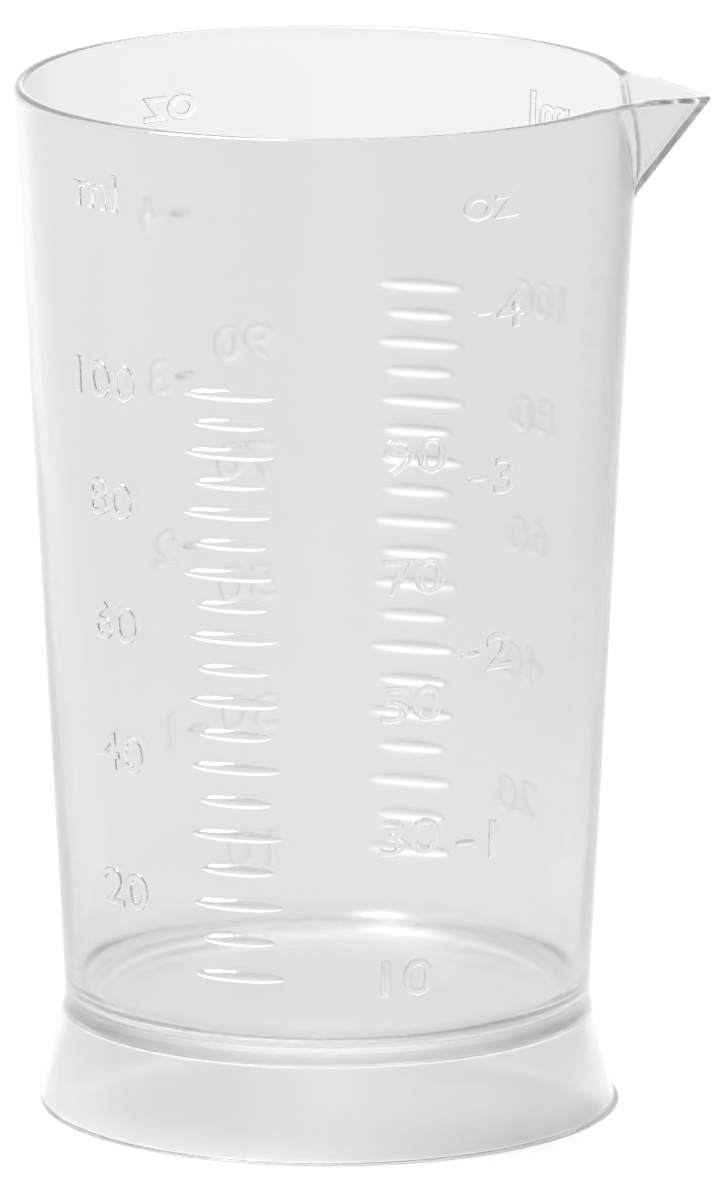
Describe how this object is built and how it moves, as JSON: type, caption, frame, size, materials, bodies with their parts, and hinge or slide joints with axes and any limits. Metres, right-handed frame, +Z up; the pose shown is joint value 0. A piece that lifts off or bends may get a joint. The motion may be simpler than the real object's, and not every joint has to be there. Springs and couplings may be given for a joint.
{
  "type": "measuring cup",
  "caption": "Small clear plastic measuring beaker with a tapered wall, pointed pour spout, hollow flared foot and raised volume marks on two sides.",
  "frame": {"origin": "middle of the bounding box's footprint, on the table plane; the cup's own axis stands 3.3 mm towards -X of it, because the spout adds to the +X side", "axes": "+Z up from the table to the rim, +X towards the spout's tip, the front scale faces -Y"},
  "size_m": [0.0606, 0.054, 0.09],
  "materials": {
    "clear_plastic": "clear, glossy, colourless moulded plastic"
  },
  "bodies": {
    "root": {"foot_skirt": "clear_plastic", "cup_floor": "clear_plastic", "cup_wall": "clear_plastic", "pour_spout": "clear_plastic", "front_mark_10_ml": "clear_plastic", "front_mark_15_ml": "clear_plastic", "front_mark_20_ml": "clear_plastic", "front_mark_25_ml": "clear_plastic", "front_mark_30_ml": "clear_plastic", "front_mark_35_ml": "clear_plastic", "front_mark_40_ml": "clear_plastic", "front_mark_45_ml": "clear_plastic", "front_mark_50_ml": "clear_plastic", "front_mark_55_ml": "clear_plastic", "front_mark_60_ml": "clear_plastic", "front_mark_65_ml": "clear_plastic", "front_mark_70_ml": "clear_plastic", "front_mark_75_ml": "clear_plastic", "front_mark_80_ml": "clear_plastic", "front_mark_85_ml": "clear_plastic", "front_mark_90_ml": "clear_plastic", "front_mark_95_ml": "clear_plastic", "front_mark_100_ml": "clear_plastic", "front_mark_1_oz": "clear_plastic", "front_mark_2_oz": "clear_plastic", "front_mark_3_oz": "clear_plastic", "front_mark_4_oz": "clear_plastic", "back_mark_10_ml": "clear_plastic", "back_mark_15_ml": "clear_plastic", "back_mark_20_ml": "clear_plastic", "back_mark_25_ml": "clear_plastic", "back_mark_30_ml": "clear_plastic", "back_mark_35_ml": "clear_plastic", "back_mark_40_ml": "clear_plastic", "back_mark_45_ml": "clear_plastic", "back_mark_50_ml": "clear_plastic", "back_mark_55_ml": "clear_plastic", "back_mark_60_ml": "clear_plastic", "back_mark_65_ml": "clear_plastic", "back_mark_70_ml": "clear_plastic", "back_mark_75_ml": "clear_plastic", "back_mark_80_ml": "clear_plastic", "back_mark_85_ml": "clear_plastic", "back_mark_90_ml": "clear_plastic", "back_mark_95_ml": "clear_plastic", "back_mark_100_ml": "clear_plastic", "back_mark_1_oz": "clear_plastic", "back_mark_2_oz": "clear_plastic", "back_mark_3_oz": "clear_plastic", "back_mark_4_oz": "clear_plastic"}
  },
  "joints": []
}
